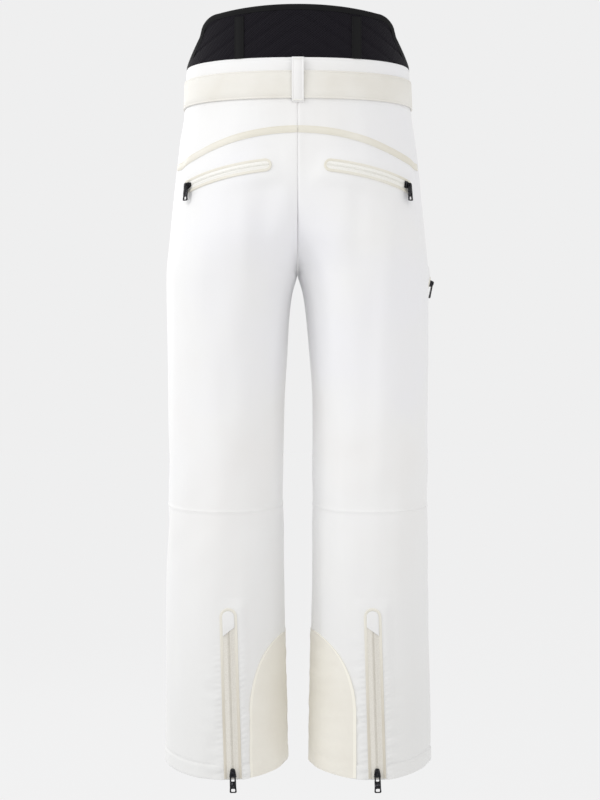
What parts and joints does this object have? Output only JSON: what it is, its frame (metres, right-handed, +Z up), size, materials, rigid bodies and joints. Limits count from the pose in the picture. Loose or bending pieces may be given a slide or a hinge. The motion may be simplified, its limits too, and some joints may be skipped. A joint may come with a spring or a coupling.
{
  "type": "ski pants",
  "caption": "White ski pants with a raised mesh back, webbing belt, back pockets, ankle zips and scuff guards; the knees fold and every zip slider moves.",
  "frame": {"origin": "centre of the waist opening at the top edge of the waistband", "axes": "+Z up along the body, the wearer faces -Y, the wearer's left is +X"},
  "size_m": [0.3891, 0.2631, 1.1011],
  "materials": {
    "shell_fabric": "matt woven shell",
    "bonded_trim": "cream bonded film and tough weave",
    "webbing": "cream woven webbing",
    "spacer_mesh": "black knitted spacer mesh",
    "black_binding": "smooth black stretch binding",
    "lining": "light lining taffeta",
    "zip_coil": "nylon coil on woven tape",
    "gunmetal": "gunmetal plated zinc"
  },
  "bodies": {
    "lower_leg_left": {"ankle_zip_chain_left": "zip_coil", "ankle_zip_garage_left": "shell_fabric", "ankle_zip_welt_left": "bonded_trim", "lower_leg_back_left": "shell_fabric", "lower_leg_front_left": "shell_fabric", "scuff_guard_left": "bonded_trim", "snow_cuff_left": "lining"},
    "lower_leg_right": {"ankle_zip_chain_right": "zip_coil", "ankle_zip_garage_right": "shell_fabric", "ankle_zip_welt_right": "bonded_trim", "lower_leg_back_right": "shell_fabric", "lower_leg_front_right": "shell_fabric", "scuff_guard_right": "bonded_trim", "snow_cuff_right": "lining"},
    "ankle_zip_pull_left": {"ankle_zip_pull_left": "gunmetal"},
    "ankle_zip_pull_right": {"ankle_zip_pull_right": "gunmetal"},
    "ankle_zip_slider_left": {"ankle_zip_slider_left": "gunmetal"},
    "ankle_zip_slider_right": {"ankle_zip_slider_right": "gunmetal"},
    "trousers": {"back_pocket_bag_left": "lining", "back_pocket_bag_right": "lining", "back_pocket_chain_left": "zip_coil", "back_pocket_chain_right": "zip_coil", "back_pocket_welt_left": "bonded_trim", "back_pocket_welt_right": "bonded_trim", "back_yoke_left": "shell_fabric", "back_yoke_right": "shell_fabric", "belt_buckle_frame": "gunmetal", "belt_buckle_pin": "gunmetal", "belt_loop_back": "shell_fabric", "belt_loop_front_left": "shell_fabric", "belt_loop_front_right": "shell_fabric", "belt_webbing": "webbing", "fly_shield": "lining", "fly_zip_chain": "zip_coil", "fly_zip_welt": "bonded_trim", "front_thigh_left": "shell_fabric", "front_thigh_right": "shell_fabric", "knee_section_left": "shell_fabric", "knee_section_right": "shell_fabric", "lumbar_binding": "black_binding", "lumbar_mesh_panel": "spacer_mesh", "lumbar_stay_left": "black_binding", "lumbar_stay_right": "black_binding", "seat_and_thigh_back_left": "shell_fabric", "seat_and_thigh_back_right": "shell_fabric", "thigh_pocket_chain": "zip_coil", "thigh_pocket_welt": "bonded_trim", "waist_snaps": "gunmetal", "waistband": "shell_fabric", "yoke_tape_left": "bonded_trim", "yoke_tape_right": "bonded_trim"},
    "back_pocket_pull_left": {"back_pocket_pull_left": "gunmetal"},
    "back_pocket_pull_right": {"back_pocket_pull_right": "gunmetal"},
    "back_pocket_slider_left": {"back_pocket_slider_left": "gunmetal"},
    "back_pocket_slider_right": {"back_pocket_slider_right": "gunmetal"},
    "belt_buckle_lever": {"belt_buckle_lever": "gunmetal"},
    "fly_zip_pull": {"fly_zip_pull": "gunmetal"},
    "fly_zip_slider": {"fly_zip_slider": "gunmetal"},
    "thigh_pocket_pull": {"thigh_pocket_pull": "gunmetal"},
    "thigh_pocket_slider": {"thigh_pocket_slider": "gunmetal"}
  },
  "joints": [
    {"name": "knee_left", "type": "hinge", "parent": "trousers", "child": "lower_leg_left", "pos_m": [0.104, -0.01, -0.626], "axis": [1, 0, 0], "range_deg": [0, 75], "deforming": ["knee_section_left"]},
    {"name": "ankle_zip_left", "type": "slide", "parent": "lower_leg_left", "child": "ankle_zip_slider_left", "axis": [0.0297, 0, 0.9996], "range_m": [0, 0.188]},
    {"name": "ankle_pull_left", "type": "hinge", "parent": "ankle_zip_slider_left", "child": "ankle_zip_pull_left", "pos_m": [0.09124, 0.1007, -1], "axis": [0.9996, 0, -0.0297], "range_deg": [0, 160]},
    {"name": "back_pocket_zip_left", "type": "hinge", "parent": "trousers", "child": "back_pocket_slider_left", "pos_m": [0.03827, -0.01194, -0.18512], "axis": [0.1045, -0.2285, 0.9679], "range_deg": [0, 46.3]},
    {"name": "back_pocket_pull_left_swivel", "type": "hinge", "parent": "back_pocket_slider_left", "child": "back_pocket_pull_left", "pos_m": [0.15746, 0.0865, -0.17475], "axis": [0.7693, 0.6354, 0.0669], "range_deg": [-50, 50]},
    {"name": "knee_right", "type": "hinge", "parent": "trousers", "child": "lower_leg_right", "pos_m": [-0.104, -0.01, -0.626], "axis": [1, 0, 0], "range_deg": [0, 75], "deforming": ["knee_section_right"]},
    {"name": "ankle_zip_right", "type": "slide", "parent": "lower_leg_right", "child": "ankle_zip_slider_right", "axis": [0.0297, 0, 0.9996], "range_m": [0, 0.188]},
    {"name": "ankle_pull_right", "type": "hinge", "parent": "ankle_zip_slider_right", "child": "ankle_zip_pull_right", "pos_m": [-0.11136, 0.1007, -1], "axis": [0.9996, 0, -0.0297], "range_deg": [0, 160]},
    {"name": "back_pocket_zip_right", "type": "hinge", "parent": "trousers", "child": "back_pocket_slider_right", "pos_m": [-0.03827, -0.01194, -0.18512], "axis": [-0.1045, -0.2285, 0.9679], "range_deg": [-46.3, 0]},
    {"name": "back_pocket_pull_right_swivel", "type": "hinge", "parent": "back_pocket_slider_right", "child": "back_pocket_pull_right", "pos_m": [-0.15746, 0.0865, -0.17475], "axis": [-0.7693, 0.6354, 0.0669], "range_deg": [-50, 50]},
    {"name": "thigh_pocket_zip", "type": "hinge", "parent": "trousers", "child": "thigh_pocket_slider", "pos_m": [-0.08387, -0.00723, -0.28411], "axis": [-0.216, 0.2011, 0.9555], "range_deg": [0, 66.22]},
    {"name": "thigh_pocket_pull_swivel", "type": "hinge", "parent": "thigh_pocket_slider", "child": "thigh_pocket_pull", "pos_m": [-0.19603, -0.01948, -0.30689], "axis": [-0.9744, -0.1065, -0.1979], "range_deg": [-50, 50]},
    {"name": "fly_zip", "type": "slide", "parent": "trousers", "child": "fly_zip_slider", "axis": [0, 0, -1], "range_m": [0, 0.112]},
    {"name": "fly_pull", "type": "hinge", "parent": "fly_zip_slider", "child": "fly_zip_pull", "pos_m": [0, -0.1246, -0.082], "axis": [-1, 0, 0], "range_deg": [0, 160]},
    {"name": "buckle_lever", "type": "hinge", "parent": "trousers", "child": "belt_buckle_lever", "pos_m": [-0.0123, -0.1203, -0.0385], "axis": [0, 0, -1], "range_deg": [0, 80]}
  ]
}
